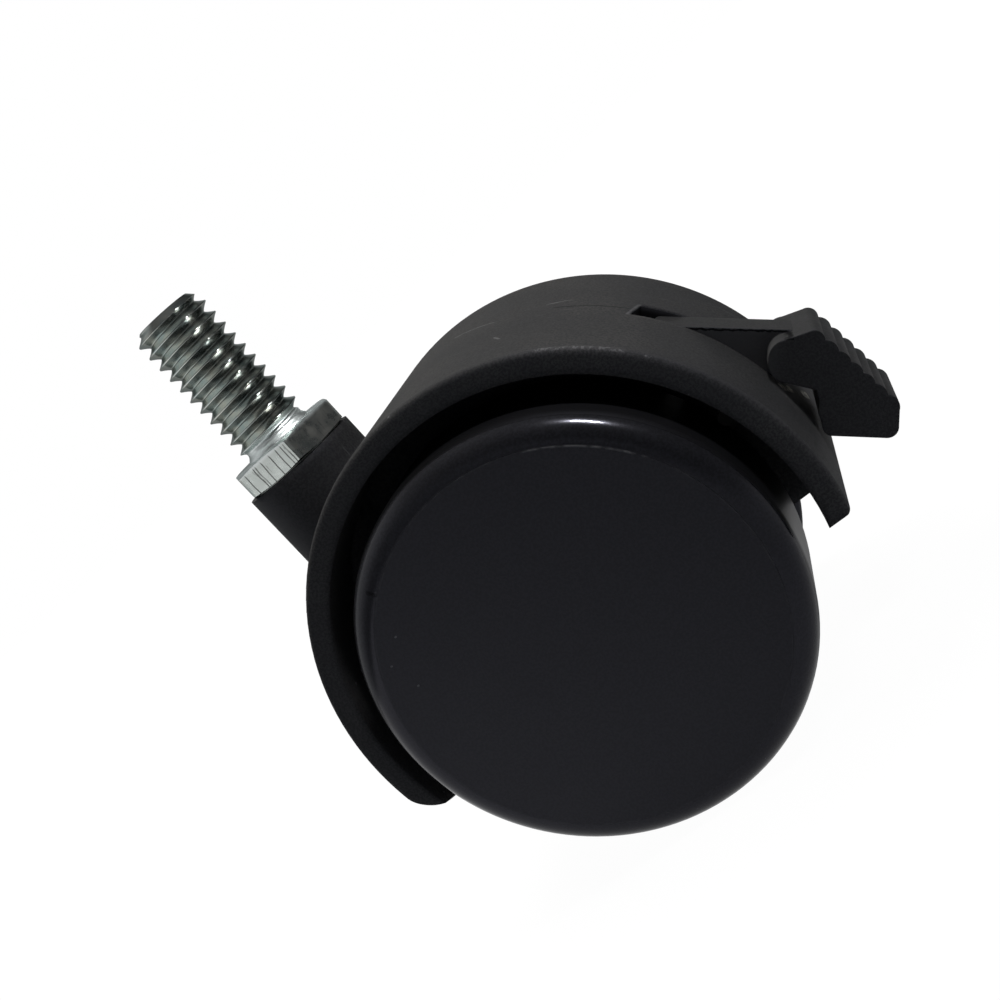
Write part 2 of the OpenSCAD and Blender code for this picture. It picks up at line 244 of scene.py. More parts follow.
def hoodPlastic():
    look = hoodLook
    mat, tree, bsdf = newMaterial("hoodPlastic")
    vec = place(tree)
    x, y, z = axes(tree)
    dx, dz = fromAxle(tree, x, z)
    angle = calc(tree, "ARCTAN2", dx, dz)
    depth = calc(tree, "SUBTRACT", hoodR, distance(tree, dx, dz))
    across = calc(tree, "ABSOLUTE", y)
    fromEdge = calc(tree, "SUBTRACT", hoodHalf, across)
    u = times(tree, angle, hoodR / mm)
    v = calc(tree, "DIVIDE", y, mm)
    outside = band(tree, depth, *look["skin"], 1, 0)
    cloud = noise(tree, vec, *look["cloud"])
    fleck = noise(tree, vec, *look["fleck"])
    ragged = noise(tree, vec, *look["ragged"])
    wobble = calc(tree, "ADD", v, band(tree, ragged, *look["wobble"]))
    base = mixColor(tree, band(tree, cloud, *look["cloudBand"]), grey(look["dark"]), look["light"])
    base = overlay(tree, base, band(tree, fleck, *look["fleckBand"]), look["fleckTone"])
    # scratches, fine hairs and the parting line on the crown
    marks = [stroke(tree, u, wobble, a, b, look["scratchWidth"]) for a, b in look["scratches"]]
    hair = noise(tree, place(tree, look["hairScale"], look["hairTurn"]), *look["hair"])
    marks.append(band(tree, hair, *look["hairBand"]))
    worn = times(tree, strongest(tree, marks), outside)
    base = overlay(tree, base, worn, *look["scratchTone"])
    seam = times(tree, stroke(tree, u, v, *look["partingLine"], look["seamWidth"]), outside)
    base = overlay(tree, base, seam, *look["seamTone"])
    # painted highlight along the rim's top edge, with chips, mould flash and the burr at the slot
    edgeHighlight = times(tree, strip(tree, fromEdge, *look["edgeHighlight"]), outside)
    base = overlay(tree, base, edgeHighlight, *look["edgeHighlightTone"])
    rim = times(tree, band(tree, fromEdge, *look["rim"], 1, 0), outside)
    inner = strip(tree, depth, *look["innerEdge"])
    flash = times(tree, strip(tree, angle, *look["flash"]), band(tree, ragged, *look["flashBand"]), inner)
    rim = strongest(tree, [rim, times(tree, inner, look["innerShare"]), flash])
    chips = times(tree, band(tree, noise(tree, vec, *look["chips"]), *look["chipBand"]), rim)
    # pale ragged specks along the crown's near edge
    crownEdgeSpecks = stroke(tree, u, v, *look["crownEdgeSpecks"], look["crownEdgeSpeckWidth"])
    crownEdgeSpecks = times(tree, crownEdgeSpecks, band(tree, ragged, *look["crownEdgeSpeckBand"]), outside)
    burr = times(tree, stroke(tree, u, v, *look["slotBurr"], look["burrWidth"]), outside, ragged)
    base = overlay(tree, base, strongest(tree, [chips, crownEdgeSpecks, burr]), *look["chipTone"])
    toe = strongest(tree, [stroke(tree, u, wobble, a, b, look["toeWidth"]) for a, b in look["toeFlash"]])
    toe = times(tree, toe, outside, band(tree, ragged, *look["toeBand"]))
    base = mixColor(tree, toe, base, look["cream"])
    # painted light on the stem socket's flank, painted shade on the walls of the slot
    flank = times(tree, band(tree, x, *look["flankX"], 1, 0), band(tree, z, *look["flankZ"]))
    base = overlay(tree, base, flank, *look["flankLightTone"])
    slot = times(tree, band(tree, across, *look["slotSide"], 1, 0), band(tree, depth, *look["slotDepth"]))
    base = overlay(tree, base, slot, look["slotShadeTone"])
    cutIn = times(tree, calc(tree, "MAXIMUM", worn, seam), look["markDepth"])
    lift = calc(tree, "SUBTRACT", noise(tree, vec, *look["grain"]), cutIn)
    normal = bump(tree, lift, *look["bump"], softEdge(tree, look["edge"]))
    finishPlastic(tree, bsdf, look, base, band(tree, cloud, *look["roughBand"]), normal)
    return mat


# specks and nick are in mm from the axle on the near wheel's outer face, x then z
wheelLook = {
    "dark": grey(0.02115, 0.12), "light": grey(0.0282, 0.16), "specular": 0.22,
    "cloud": (90, 4, 0.55), "grain": (4200, 2, 0.6), "grainBand": (0.42, 0.58, 0.0, 0.4), "grainTone": 0.01,
    "shoulder": (2.2 * mm, 2.4 * mm), "rough": (0.48, 0.17), "roughBand": (0.2, 0.8, -0.03, 0.04),
    "tread": (0.1 * mm, 0.25 * mm), "treadShadeTone": 0.004, "treadRough": 0.45,
    "line": (2.38 * mm, 2.48 * mm, 0.08 * mm), "lineTone": 0.12,
    "gaps": (520, 2, 0.6), "gapBand": (0.42, 0.58), "litCrownBand": (0.2, 0.5, 0.9, 0.15),
    "near": (0.3 * mm, 2 * mm),
    "specks": [(-12.4, 10.7), (-14.7, 8.8), (-14.1, 5.9)],
    "speckLength": 0.08, "speckWidth": 0.14, "speckTone": (0.2, 0.6),
    "nick": ((-11.5, 15.3), (-11.0, 14.8)), "nickWidth": 0.3, "nickTone": 0.004, "nickDepth": 2.0,
    "bump": (0.16, 0.02 * mm),
}


def wheelPlastic():
    look = wheelLook
    mat, tree, bsdf = newMaterial("wheelPlastic")
    vec = place(tree)
    x, y, z = axes(tree)
    dx, dz = fromAxle(tree, x, z)
    angle = calc(tree, "ARCTAN2", dx, dz)
    depth = calc(tree, "SUBTRACT", wheelR, distance(tree, dx, dz))
    u = calc(tree, "DIVIDE", dx, mm)
    v = calc(tree, "DIVIDE", dz, mm)
    near = band(tree, calc(tree, "SUBTRACT", y, wheelLow.y), *look["near"], 1, 0)
    cloud = noise(tree, vec, *look["cloud"])
    grain = noise(tree, vec, *look["grain"])
    base = mixColor(tree, cloud, look["dark"], look["light"])
    base = overlay(tree, base, band(tree, grain, *look["grainBand"]), look["grainTone"])
    # painted shade: the tread, which lies in the hood's shadow, is painted darker
    tread = band(tree, depth, *look["tread"], 1, 0)
    base = overlay(tree, base, tread, look["treadShadeTone"])
    # painted highlight: a pale broken line round the face's edge, strongest at the picture's crown where the
    # light from above catches it
    fromCrown = calc(tree, "ABSOLUTE", calc(tree, "SUBTRACT", angle, tip))
    broken = band(tree, noise(tree, vec, *look["gaps"]), *look["gapBand"])
    line = times(tree, strip(tree, depth, *look["line"]), broken, band(tree, fromCrown, *look["litCrownBand"]))
    base = overlay(tree, base, line, look["lineTone"])
    long = look["speckLength"]
    specks = [stroke(tree, u, v, (a, b), (a + long, b), look["speckWidth"]) for a, b in look["specks"]]
    base = overlay(tree, base, times(tree, strongest(tree, specks), near), *look["speckTone"])
    nick = times(tree, stroke(tree, u, v, *look["nick"], look["nickWidth"]), near)
    base = overlay(tree, base, nick, look["nickTone"])
    shoulder = band(tree, depth, *look["shoulder"], 1, 0)
    rough = band(tree, shoulder, 0, 1, *look["rough"])
    rough = calc(tree, "MAXIMUM", rough, times(tree, tread, look["treadRough"]))
    rough = calc(tree, "ADD", rough, band(tree, cloud, *look["roughBand"]))
    lift = calc(tree, "SUBTRACT", grain, times(tree, nick, look["nickDepth"]))
    finishPlastic(tree, bsdf, look, base, rough, bump(tree, lift, *look["bump"]))
    return mat


# the flash line runs along the arm's top edge, in mm along the arm and up from the axle
leverLook = {
    "dark": 0.04, "light": 0.056, "specular": 0.1, "edge": 0.2 * mm, "slope": math.radians(41.9),
    "cloud": (260, 4, 0.6), "roughBand": (0.25, 0.75, 0.47, 0.61),
    "grain": (5600, 2, 0.6), "bump": (0.35, 0.03 * mm),
    "fleck": (4200, 2, 0.7), "fleckBand": (0.42, 0.58, 0.0, 0.5), "fleckTone": 0.022,
    "nearSide": (-1.88 * mm, -1.75 * mm), "armLightBand": (14, 17.5, 0.75, 0), "armLightTone": 0.085,
    "flash": ((7.6, 24.2), (17.4, 24.25)), "flashWidth": 0.15,
    "jag": (1500, 2, 0.6), "jagBand": (0.25, 0.75, -0.08, 0.08),
    "hidden": (22.6, 23.2), "flashAndShadeTone": 0.004,
}


def leverPlastic():
    look = leverLook
    mat, tree, bsdf = newMaterial("leverPlastic")
    vec = place(tree)
    x, y, z = axes(tree)
    dx, dz = [calc(tree, "DIVIDE", d, mm) for d in fromAxle(tree, x, z)]
    u = toward(tree, dx, dz, -look["slope"])
    v = toward(tree, dx, dz, math.pi / 2 - look["slope"])
    cloud = noise(tree, vec, *look["cloud"])
    fleck = noise(tree, vec, *look["fleck"])
    base = mixColor(tree, cloud, grey(look["dark"]), grey(look["light"]))
    base = overlay(tree, base, band(tree, fleck, *look["fleckBand"]), look["fleckTone"])
    side = band(tree, y, *look["nearSide"], 1, 0)
    # painted light on the near side of the arm
    base = overlay(tree, base, times(tree, side, band(tree, u, *look["armLightBand"])), look["armLightTone"])
    # dark flash line, and painted shade on the part that lies inside the hood
    jag = calc(tree, "ADD", v, band(tree, noise(tree, vec, *look["jag"]), *look["jagBand"]))
    line = times(tree, stroke(tree, u, jag, *look["flash"], look["flashWidth"]), side)
    hidden = band(tree, distance(tree, u, v), *look["hidden"], 1, 0)
    base = overlay(tree, base, calc(tree, "MAXIMUM", line, hidden), look["flashAndShadeTone"])
    normal = bump(tree, noise(tree, vec, *look["grain"]), *look["bump"], softEdge(tree, look["edge"]))
    finishPlastic(tree, bsdf, look, base, band(tree, cloud, *look["roughBand"]), normal)
    return mat


steelLook = {
    "cloud": (420, 4, 0.6), "spread": (0.85, 1.1), "roughBand": (0.2, 0.8), "roughSpread": (-0.06, 0.08),
    "drawnScale": (4000, 120, 4000), "drawn": (1.0, 2, 0.5), "bump": (0.2, 0.01 * mm),
}


def plainSteel(name, shade, rough):
    mat, tree, bsdf = newMaterial(name)
    cloud = noise(tree, place(tree), *steelLook["cloud"])
    drawn = noise(tree, place(tree, steelLook["drawnScale"]), *steelLook["drawn"])
    dark, light = [grey(shade * s) for s in steelLook["spread"]]
    put(tree, bsdf.inputs["Base Color"], mixColor(tree, cloud, dark, light))
    bsdf.inputs["Metallic"].default_value = 1.0
    smooth, coarse = [rough + s for s in steelLook["roughSpread"]]
    put(tree, bsdf.inputs["Roughness"], band(tree, cloud, *steelLook["roughBand"], smooth, coarse))
    put(tree, bsdf.inputs["Normal"], bump(tree, drawn, *steelLook["bump"]))
    return mat


# the facet toward the camera is painted bright, a painted reflection, with drawn lines at these places across
# it in mm
zincLook = {
    "cool": (0.46, 0.51, 0.5, 1), "warm": (0.56, 0.57, 0.53, 1), "facet": (0.74, 0.79, 0.76, 1),
    "neck": (0.9, 0.95, 0.94, 1), "edge": (0.5, 0.53, 0.52, 1),
    "cloud": (700, 4, 0.65), "cloudBand": (0.35, 0.65), "roughBand": (0.25, 0.75, 0.07, 0.24),
    "fine": (3500, 3, 0.6), "bump": (0.1, 0.03 * mm),
    "wrap": 11.0, "rise": 260.0, "drawn": (1.6, 3, 0.7), "drawnBand": (0.6, 0.66, 0.0, 0.5),
    "hexSide": (4.9 * mm, 5.2 * mm), "hexTop": (-0.2 * mm, -0.05 * mm), "hexDull": 0.14,
    "facetTurn": math.radians(-93), "facetBand": (5.7 * mm, 5.76 * mm), "facetReflectionShare": 0.9,
    "dimTurn": math.radians(-33), "darkFacetTone": (0.16, 0.4),
    "facetLines": [-2.55, -1.4, -1.12, -0.35, 0.78, 1.72, 2.38, 2.78, 3.12],
    "lineHalf": 0.03, "lineSoft": 0.05 * mm, "lineTone": (0.04, 0.9),
    "waver": (500, 1), "waverBand": (0.2, 0.8, -0.06 * mm, 0.06 * mm),
    "dragScale": (3000, 3000, 400), "drag": (1.0, 2), "dragBand": (0.3, 0.5, 0.55, 1.0),
    "neckHighlightBand": (-0.1 * mm, 1.2 * mm, 0.4 * mm), "neckDull": 0.2,
}


def zincPlate():
    look = zincLook
    mat, tree, bsdf = newMaterial("zincPlate")
    x, y, z = axes(tree)
    vec = place(tree)
    cloud = noise(tree, vec, *look["cloud"])
    fine = noise(tree, vec, *look["fine"])
    join = tree.nodes.new("ShaderNodeCombineXYZ")
    put(tree, join.inputs[0], times(tree, calc(tree, "ARCTAN2", y, x), look["wrap"]))
    put(tree, join.inputs[2], times(tree, z, look["rise"]))
    drawn = noise(tree, join.outputs[0], *look["drawn"])
    onHex = band(tree, distance(tree, x, y), *look["hexSide"])
    onHex = times(tree, onHex, band(tree, z, *look["hexTop"], 1, 0))
    facet = band(tree, toward(tree, x, y, look["facetTurn"]), *look["facetBand"])
    paintedDarkFacet = band(tree, toward(tree, x, y, look["dimTurn"]), *look["facetBand"])
    # lines drawn round the whole collar, and the clear ones across the facet with the painted reflection
    across = toward(tree, x, y, look["facetTurn"] + math.pi / 2)
    across = calc(tree, "ADD", across, band(tree, noise(tree, vec, *look["waver"]), *look["waverBand"]))
    half = look["lineHalf"]
    cuts = [strip(tree, across, (t - half) * mm, (t + half) * mm, look["lineSoft"]) for t in look["facetLines"]]
    drag = band(tree, noise(tree, place(tree, look["dragScale"]), *look["drag"]), *look["dragBand"])
    cuts = times(tree, strongest(tree, cuts), facet, drag)
    lines = calc(tree, "MAXIMUM", times(tree, band(tree, drawn, *look["drawnBand"]), onHex), cuts)
    base = mixColor(tree, band(tree, cloud, *look["cloudBand"]), look["cool"], look["warm"])
    # painted reflection: the facet toward the camera is painted brighter
    base = mixColor(tree, times(tree, facet, look["facetReflectionShare"]), base, look["facet"])
    # painted reflection of the dark hood: the facet turned toward the pedal is painted darker
    base = overlay(tree, base, paintedDarkFacet, *look["darkFacetTone"])
    base = overlay(tree, base, lines, *look["lineTone"])
    # painted highlight: the neck just above the collar is painted brighter
    neck = strip(tree, z, *look["neckHighlightBand"])
    base = mixColor(tree, neck, base, look["neck"])
    put(tree, bsdf.inputs["Base Color"], base)
    bsdf.inputs["Metallic"].default_value = 1.0
    bsdf.inputs["Specular Tint"].default_value = look["edge"]
    dull = calc(tree, "MAXIMUM", times(tree, onHex, look["hexDull"]), times(tree, neck, look["neckDull"]))
    put(tree, bsdf.inputs["Roughness"], calc(tree, "ADD", band(tree, cloud, *look["roughBand"]), dull))
    put(tree, bsdf.inputs["Normal"], bump(tree, calc(tree, "SUBTRACT", fine, lines), *look["bump"]))
    return mat


looks = {
    "hood": hoodPlastic(),
    "wheel": wheelPlastic(),
    "lever": leverPlastic(),
    "rod": plainSteel("blackRod", shade=0.02, rough=0.6),
    "zinc": zincPlate(),
    "bright": plainSteel("brightSteel", shade=0.55, rough=0.28),
    "spring": plainSteel("springSteel", shade=0.33, rough=0.36),
}
nodeLooks = {
    "housing": "hood", "wheel_left": "wheel", "wheel_right": "wheel", "brake_lever": "lever",
    "brake_bar": "rod", "lever_pin": "bright", "axle": "bright", "snap_ring": "spring", "threaded_stem": "zinc",
}
for name, look in nodeLooks.items():
    for holder in nodes[name].material_slots:
        holder.material = looks[look]
print("materials set")


# threaded stem, with the helix that the solid shows as rings

thread = {
    "pitch": 1.411 * mm, "length": stemHigh.z, "major": 3.97 * mm, "root": 3.12 * mm, "start": 0.66,
    "neck": 3.45 * mm, "neckLength": 0.7 * mm, "tip": 0.95 * mm, "around": 96, "along": 520,
}
# gain and power give sharp crests and rounded roots; the run-in is in pitches
threadForm = {"gain": 2.16, "power": 1.3, "runIn": 0.5, "flare": 0.4 * mm, "weld": 1e-6}


def threadGroup():
    tree = bpy.data.node_groups.new("screwThread", "GeometryNodeTree")
    ids = {}
    for label, key in (("Pitch", "pitch"), ("Length", "length"), ("Major", "major"), ("Root", "root"),
                       ("Start", "start"), ("Neck", "neck"), ("Neck Length", "neckLength"), ("Tip", "tip")):
        ids[key] = tree.interface.new_socket(label, in_out="INPUT", socket_type="NodeSocketFloat").identifier
    for label, key in (("Around", "around"), ("Along", "along")):
        ids[key] = tree.interface.new_socket(label, in_out="INPUT", socket_type="NodeSocketInt").identifier
    paintSocket = tree.interface.new_socket("Material", in_out="INPUT", socket_type="NodeSocketMaterial")
    ids["material"] = paintSocket.identifier
    tree.interface.new_socket("Geometry", in_out="OUTPUT", socket_type="NodeSocketGeometry")
    given = tree.nodes.new("NodeGroupInput").outputs
    grid = tree.nodes.new("GeometryNodeMeshGrid")
    grid.inputs["Size X"].default_value = 1.0
    grid.inputs["Size Y"].default_value = 1.0
    tree.links.new(given["Around"], grid.inputs["Vertices X"])
    tree.links.new(given["Along"], grid.inputs["Vertices Y"])
    pos = tree.nodes.new("GeometryNodeInputPosition")
    split = tree.nodes.new("ShaderNodeSeparateXYZ")
    tree.links.new(pos.outputs[0], split.inputs[0])
    share = split.outputs[0]
    height = times(tree, calc(tree, "ADD", split.outputs[1], 0.5), given["Length"])
    # a right-hand helix: the ridge is 0 in the root and 1 on the crest
    climb = calc(tree, "SUBTRACT", calc(tree, "DIVIDE", height, given["Pitch"]), share)
    phase = calc(tree, "FRACT", calc(tree, "ADD", climb, given["Start"]))
    ridge = times(tree, calc(tree, "ABSOLUTE", calc(tree, "SUBTRACT", phase, 0.5)), threadForm["gain"])
    ridge = calc(tree, "POWER", calc(tree, "MINIMUM", ridge, 1.0), threadForm["power"])
    deep = calc(tree, "SUBTRACT", given["Major"], given["Root"])
    cut = calc(tree, "ADD", given["Root"], times(tree, ridge, deep))
    threadStart = calc(tree, "ADD", given["Neck Length"], times(tree, given["Pitch"], threadForm["runIn"]))
    body = band(tree, height, given["Neck Length"], threadStart, given["Neck"], cut)
    flare = band(tree, height, 0.0, given["Neck Length"], threadForm["flare"], 0.0)
    over = calc(tree, "SUBTRACT", height, calc(tree, "SUBTRACT", given["Length"], given["Tip"]))
    limit = calc(tree, "SUBTRACT", given["Major"], calc(tree, "MAXIMUM", over, 0.0))
    radius = calc(tree, "MINIMUM", calc(tree, "ADD", body, flare), limit)
    angle = times(tree, share, 2 * math.pi)
    join = tree.nodes.new("ShaderNodeCombineXYZ")
    put(tree, join.inputs[0], times(tree, radius, calc(tree, "COSINE", angle)))
    put(tree, join.inputs[1], times(tree, radius, calc(tree, "SINE", angle)))
    put(tree, join.inputs[2], height)
    move = tree.nodes.new("GeometryNodeSetPosition")
    tree.links.new(grid.outputs["Mesh"], move.inputs["Geometry"])
    tree.links.new(join.outputs[0], move.inputs["Position"])
    weld = tree.nodes.new("GeometryNodeMergeByDistance")
    weld.inputs["Distance"].default_value = threadForm["weld"]
    tree.links.new(move.outputs["Geometry"], weld.inputs["Geometry"])
    smooth = tree.nodes.new("GeometryNodeSetShadeSmooth")
    tree.links.new(weld.outputs["Geometry"], smooth.inputs["Geometry"])
    real = tree.nodes.new("GeometryNodeRealizeInstances")
    tree.links.new(smooth.outputs["Geometry"], real.inputs["Geometry"])
    paint = tree.nodes.new("GeometryNodeSetMaterial")
    tree.links.new(real.outputs["Geometry"], paint.inputs["Geometry"])
    tree.links.new(given["Material"], paint.inputs["Material"])
    tree.links.new(paint.outputs["Geometry"], tree.nodes.new("NodeGroupOutput").inputs["Geometry"])
    return tree, ids


def meshFromGroup(name, tree, ids, values):
    obj = bpy.data.objects.new(name, bpy.data.meshes.new(name))
    bpy.context.scene.collection.objects.link(obj)
    mod = obj.modifiers.new("grow", "NODES")
    mod.node_group = tree
    for key, value in values.items():
        mod[ids[key]] = value
    bpy.context.view_layer.update()
    done = bpy.data.meshes.new_from_object(obj.evaluated_get(bpy.context.evaluated_depsgraph_get()))
    obj.modifiers.remove(mod)
    bpy.data.objects.remove(obj)
    return done


def polarVert(bm, angle, radius, z):
    return bm.verts.new((radius * math.cos(angle), radius * math.sin(angle), z))


# across flats, with corners turned down to a radius and chamfered from the given radius outward
hexCollar = {
    "flats": 11.6 * mm, "height": 2.7 * mm, "turn": math.radians(-3), "cornerR": 6.56 * mm,
    "chamferR": 5.66 * mm, "slope": 0.24, "halfSteps": 6, "cornerSteps": 4,
}


def hexOutline():
    half = hexCollar["flats"] / 2
    limit = math.acos(half / hexCollar["cornerR"])
    corner = math.pi / 3 - 2 * limit
    steps, cornerSteps = hexCollar["halfSteps"], hexCollar["cornerSteps"]
    points = []
    for side in range(6):
        middle = hexCollar["turn"] + math.pi / 6 + side * math.pi / 3
        for i in range(-steps, steps + 1):
            local = limit * i / steps
            points.append((middle + local, half / math.cos(local)))
        for i in range(1, cornerSteps):
            points.append((middle + limit + corner * i / cornerSteps, hexCollar["cornerR"]))
    return points


def hexPrism(bm):
    height, inner = hexCollar["height"], hexCollar["chamferR"]
    points = hexOutline()
    rings = [[polarVert(bm, a, inner, 0) for a, r in points]]
    for level, slope in ((0, -hexCollar["slope"]), (-height, hexCollar["slope"])):
        rings.append([polarVert(bm, a, r, level + slope * (r - inner)) for a, r in points])
    rings.append([polarVert(bm, a, inner, -height) for a, r in points])
    bm.faces.new(rings[0])
    bm.faces.new(rings[-1][::-1])
    for upper, lower in zip(rings, rings[1:]):
        for i in range(len(points)):
            bm.faces.new((upper[i - 1], lower[i - 1], lower[i], upper[i]))


# radii and depths of the hidden part below the collar; its top lies inside the hexagon
shank = {
    "top": -1 * mm, "radius": 3.6 * mm, "seatRadius": 5.4 * mm, "seatDrop": 0.1 * mm,
    "grooveRadius": 2.95 * mm, "grooveUp": 4 * mm, "grooveHalf": 0.6 * mm, "chamfer": 0.4 * mm, "around": 96,
}


def shankProfile():
    r, groove, chamfer = shank["radius"], shank["grooveRadius"], shank["chamfer"]
    top, seatR = shank["top"], shank["seatRadius"]
    end = stemLow.z
    seat = -hexCollar["height"] - shank["seatDrop"]
    high = end + shank["grooveUp"] + shank["grooveHalf"]
    low = end + shank["grooveUp"] - shank["grooveHalf"]
    return [
        (0, top), (seatR, top), (seatR, seat), (r, seat), (r, high), (groove, high), (groove, low),
        (r, low), (r, end + chamfer), (r - chamfer, end), (0, end),
    ]


def addRing(bm, radius, z, steps):
    if radius == 0:
        return [bm.verts.new((0, 0, z))] * steps
    return [polarVert(bm, 2 * math.pi * i / steps, radius, z) for i in range(steps)]


# turned body with sharp corners between the points of its profile
def lathe(bm, profile, steps):
    rings = [addRing(bm, r, z, steps) for r, z in profile]
    for a, b in zip(rings, rings[1:]):
        for i in range(steps):
            j = (i + 1) % steps
            corners = list(dict.fromkeys((a[i], b[i], b[j], a[j])))
            bm.faces.new(corners).smooth = True
    for ring in rings[1:-1]:
        for a, b in zip(ring, ring[1:] + ring[:1]):
            bm.edges.get((a, b)).smooth = False


# the stem's end face is found above this share of the thread, and slightly dished
stemEnd = {"above": 0.9, "inset": 0.3 * mm, "dish": 0.05 * mm}


def stemPiece():
    tree, ids = threadGroup()
    bm = bmesh.new()
    bm.from_mesh(meshFromGroup("threadMesh", tree, ids, dict(thread, material=looks["zinc"])))
    endZ = stemEnd["above"] * thread["length"]
    edges = [e for e in bm.edges if e.is_boundary and e.verts[0].co.z > endZ]
    face = bmesh.ops.contextual_create(bm, geom=edges)["faces"][0]
    bmesh.ops.inset_region(bm, faces=[face], thickness=stemEnd["inset"], depth=-stemEnd["dish"])
    bmesh.ops.poke(bm, faces=[face])
    lathe(bm, shankProfile(), shank["around"])
    hexPart = bmesh.new()
    hexPrism(hexPart)
    hexMesh = bpy.data.meshes.new("hexCollar")
    hexPart.to_mesh(hexMesh)
    hexPart.free()
    bm.from_mesh(hexMesh)
    bpy.data.meshes.remove(hexMesh)
    bmesh.ops.recalc_face_normals(bm, faces=bm.faces[:])
    mesh = bpy.data.meshes.new("stemTurned")
    bm.to_mesh(mesh)
    bm.free()
    mesh.materials.clear()
    mesh.materials.append(looks["zinc"])
    obj = bpy.data.objects.new("stemTurned", mesh)
    bpy.context.scene.collection.objects.link(obj)
    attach(obj, "stem")
    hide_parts("threaded_stem")
    return obj


stem = stemPiece()
print("stem made", len(stem.data.polygons))


# stage, light and camera

def shownRays(tree):
    path = tree.nodes.new("ShaderNodeLightPath")
    kinds = ("Is Camera Ray", "Is Glossy Ray", "Is Transmission Ray")
    return path.outputs["Is Camera Ray"], strongest(tree, [path.outputs[k] for k in kinds])


# white to the camera with a faint shadow near the castor; its reflections fade along the given
# direction and toward the far side, and close to the wheels they are darkened as painted contact shade
floorLook = {
    "half": 1.5, "segments": 8, "dark": (0.26, 0.28, 0.31, 1), "light": (0.3, 0.32, 0.35, 1), "speck": (300, 3),
    "shownTone": 0.85, "glow": 1.03, "rough": 0.9, "specular": 0.1, "shadow": (0.03, 0.16, 0.95, 1.0),
    "fadeAlong": (0.669, -0.42), "fade": (0.0, 0.048, 1.0, 0.39), "farFade": (0.06, 0.16, 1.0, 0.3),
    "backFade": (0.0, 0.06, 1.0, 0.35), "contactShade": (0.015, 0.05, 0.7, 1.0),
}


def floorMaterial():
    look = floorLook
    mat, tree, bsdf = newMaterial("paleFloor")
    camera, seen = shownRays(tree)
    tone = mixColor(tree, noise(tree, place(tree), *look["speck"]), look["dark"], look["light"])
    put(tree, bsdf.inputs["Base Color"], mixColor(tree, camera, tone, grey(look["shownTone"])))
    bsdf.inputs["Roughness"].default_value = look["rough"]
    bsdf.inputs["Specular IOR Level"].default_value = look["specular"]
    x, y, z = axes(tree)
    dx = calc(tree, "SUBTRACT", x, axle.x)
    reach = distance(tree, dx, y)
    fadeX, fadeY = look["fadeAlong"]
    away = calc(tree, "ADD", times(tree, dx, fadeX), times(tree, y, fadeY))
    mirrored = times(tree, band(tree, away, *look["fade"]), band(tree, away, *look["farFade"]))
    # painted contact shade: the reflected glow is darker close to the wheels
    mirrored = times(tree, mirrored, band(tree, y, *look["backFade"]), band(tree, reach, *look["contactShade"]))
    glow = tree.nodes.new("ShaderNodeEmission")
    glow.inputs["Color"].default_value = white
    strength = calc(tree, "MAXIMUM", times(tree, camera, look["glow"]), mirrored)
    put(tree, glow.inputs["Strength"], strength)
    mix = tree.nodes.new("ShaderNodeMixShader")
    put(tree, mix.inputs["Fac"], times(tree, seen, band(tree, reach, *look["shadow"])))
    tree.links.new(bsdf.outputs["BSDF"], mix.inputs[1])
    tree.links.new(glow.outputs[0], mix.inputs[2])
    out = next(n for n in tree.nodes if n.type == "OUTPUT_MATERIAL")
    tree.links.new(mix.outputs[0], out.inputs["Surface"])
    return mat


def makeFloor():
    bm = bmesh.new()
    cells = floorLook["segments"]
    bmesh.ops.create_grid(bm, x_segments=cells, y_segments=cells, size=floorLook["half"])
    mesh = bpy.data.meshes.new("paleFloor")
    bm.to_mesh(mesh)
    bm.free()
    mesh.transform(Matrix.Translation((axle.x, 0, wheelLow.z)))
    mesh.materials.append(floorMaterial())
    obj = bpy.data.objects.new("paleFloor", mesh)
    bpy.context.scene.collection.objects.link(obj)


# places in picture space, in metres; a mirrored lamp gives its mirror image and no other light
lamps = {
    "softBox": {
        "at": (-0.32, 0.08, 0.24), "size": (0.25, 0.25), "power": 1.22,
        "color": (1, 0.98, 0.94), "mirrored": False,
    },
    "topFill": {
        "at": (-0.02, -0.05, 0.34), "size": (0.06, 0.06), "power": 0.29,
        "color": (1, 1, 1), "mirrored": False,
    },
    "backFill": {
        "at": (0.05, 0.4, 0.03), "size": (0.2, 0.2), "power": 0.8,
        "color": (1, 1, 1), "mirrored": False,
    },
    "spark": {
        "at": (-0.022, -0.058, 0.34), "size": (0.01, 0.056), "power": 1.4,
        "color": (1, 1, 1), "mirrored": True,
    },
}


def makeLamp(name, lamp):
    data = bpy.data.lights.new(name, "AREA")
    data.shape = "RECTANGLE"
    data.size, data.size_y = lamp["size"]
    data.energy = lamp["power"]
    data.color = lamp["color"]
    obj = bpy.data.objects.new(name, data)
    bpy.context.scene.collection.objects.link(obj)
    start = picture @ Vector(lamp["at"])
    aim = (axle - start).to_track_quat("-Z", "Y").to_matrix().to_4x4()
    obj.matrix_world = Matrix.Translation(start) @ aim
    obj.visible_glossy = lamp["mirrored"]
    obj.visible_diffuse = not lamp["mirrored"]


# reflections see a white room with a dim ceiling and dim sides; bands are over the direction's parts
worldLook = {
    "diffuse": 0.05, "soft": (0.88, 0.94, 1.3, 1), "tint": (0.98, 1.0, 1.01, 1),
    "ceiling": (-0.05, 0.4, 1.0, 0.12),
    "cameraSide": (-0.7, -0.1, 0.3, 1.0), "farSide": (0.1, 0.8, 1.0, 0.5),
    "pedalSide": (0.1, 0.8, 1.0, 0.2), "stemSide": (-0.8, -0.1, 0.5, 1.0),
}


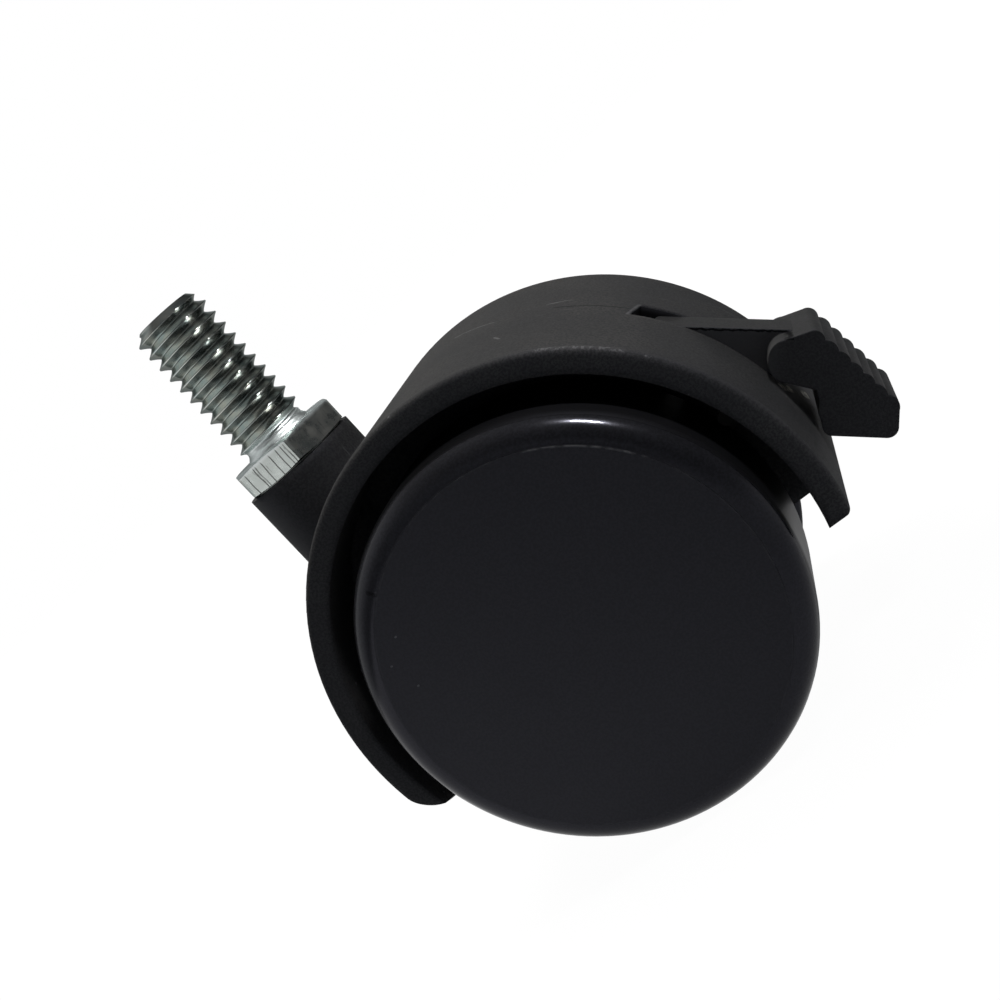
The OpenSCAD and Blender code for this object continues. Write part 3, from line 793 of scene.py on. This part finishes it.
def makeWorld():
    world = bpy.data.worlds.new("studio")
    bpy.context.scene.world = world
    world.use_nodes = True
    tree = world.node_tree
    tree.nodes.clear()
    out = tree.nodes.new("ShaderNodeOutputWorld")
    soft = tree.nodes.new("ShaderNodeBackground")
    soft.inputs["Color"].default_value = worldLook["soft"]
    soft.inputs["Strength"].default_value = worldLook["diffuse"]
    bright = tree.nodes.new("ShaderNodeBackground")
    coord = tree.nodes.new("ShaderNodeTexCoord")
    climb = tree.nodes.new("ShaderNodeVectorMath")
    climb.operation = "DOT_PRODUCT"
    climb.inputs[1].default_value = picture.to_3x3() @ Vector((0, 0, 1))
    tree.links.new(coord.outputs["Generated"], climb.inputs[0])
    split = tree.nodes.new("ShaderNodeSeparateXYZ")
    tree.links.new(coord.outputs["Generated"], split.inputs[0])
    room = band(tree, climb.outputs["Value"], *worldLook["ceiling"])
    for axis, side in ((1, "cameraSide"), (1, "farSide"), (0, "pedalSide"), (0, "stemSide")):
        room = times(tree, room, band(tree, split.outputs[axis], *worldLook[side]))
    camera, seen = shownRays(tree)
    put(tree, bright.inputs["Color"], mixColor(tree, camera, worldLook["tint"], white))
    put(tree, bright.inputs["Strength"], calc(tree, "MAXIMUM", camera, room))
    mix = tree.nodes.new("ShaderNodeMixShader")
    put(tree, mix.inputs["Fac"], seen)
    tree.links.new(soft.outputs[0], mix.inputs[1])
    tree.links.new(bright.outputs[0], mix.inputs[2])
    tree.links.new(mix.outputs[0], out.inputs["Surface"])


# solved from the photograph: place in wheel radii from the axle, focal length in picture widths
photoCamera = {
    "at": (0.39649, -6.39668, 2.70763), "yaw": -0.133795, "pitch": 0.3590846, "focal": 1.44137,
    "sensor": 36, "clip": 0.005,
}


def makeCamera():
    data = bpy.data.cameras.new("photoCamera")
    data.sensor_width = photoCamera["sensor"]
    data.lens = photoCamera["focal"] * data.sensor_width
    data.clip_start = photoCamera["clip"]
    obj = bpy.data.objects.new("photoCamera", data)
    bpy.context.scene.collection.objects.link(obj)
    yaw = Matrix.Rotation(-photoCamera["yaw"], 4, "Z")
    pitch = Matrix.Rotation(math.pi / 2 - photoCamera["pitch"], 4, "X")
    obj.matrix_world = picture @ Matrix.Translation(Vector(photoCamera["at"]) * wheelR) @ yaw @ pitch
    bpy.context.scene.camera = obj


makeFloor()
makeWorld()
for name, lamp in lamps.items():
    makeLamp(name, lamp)
makeCamera()
bpy.context.scene.view_settings.view_transform = "Standard"
print("stage ready")
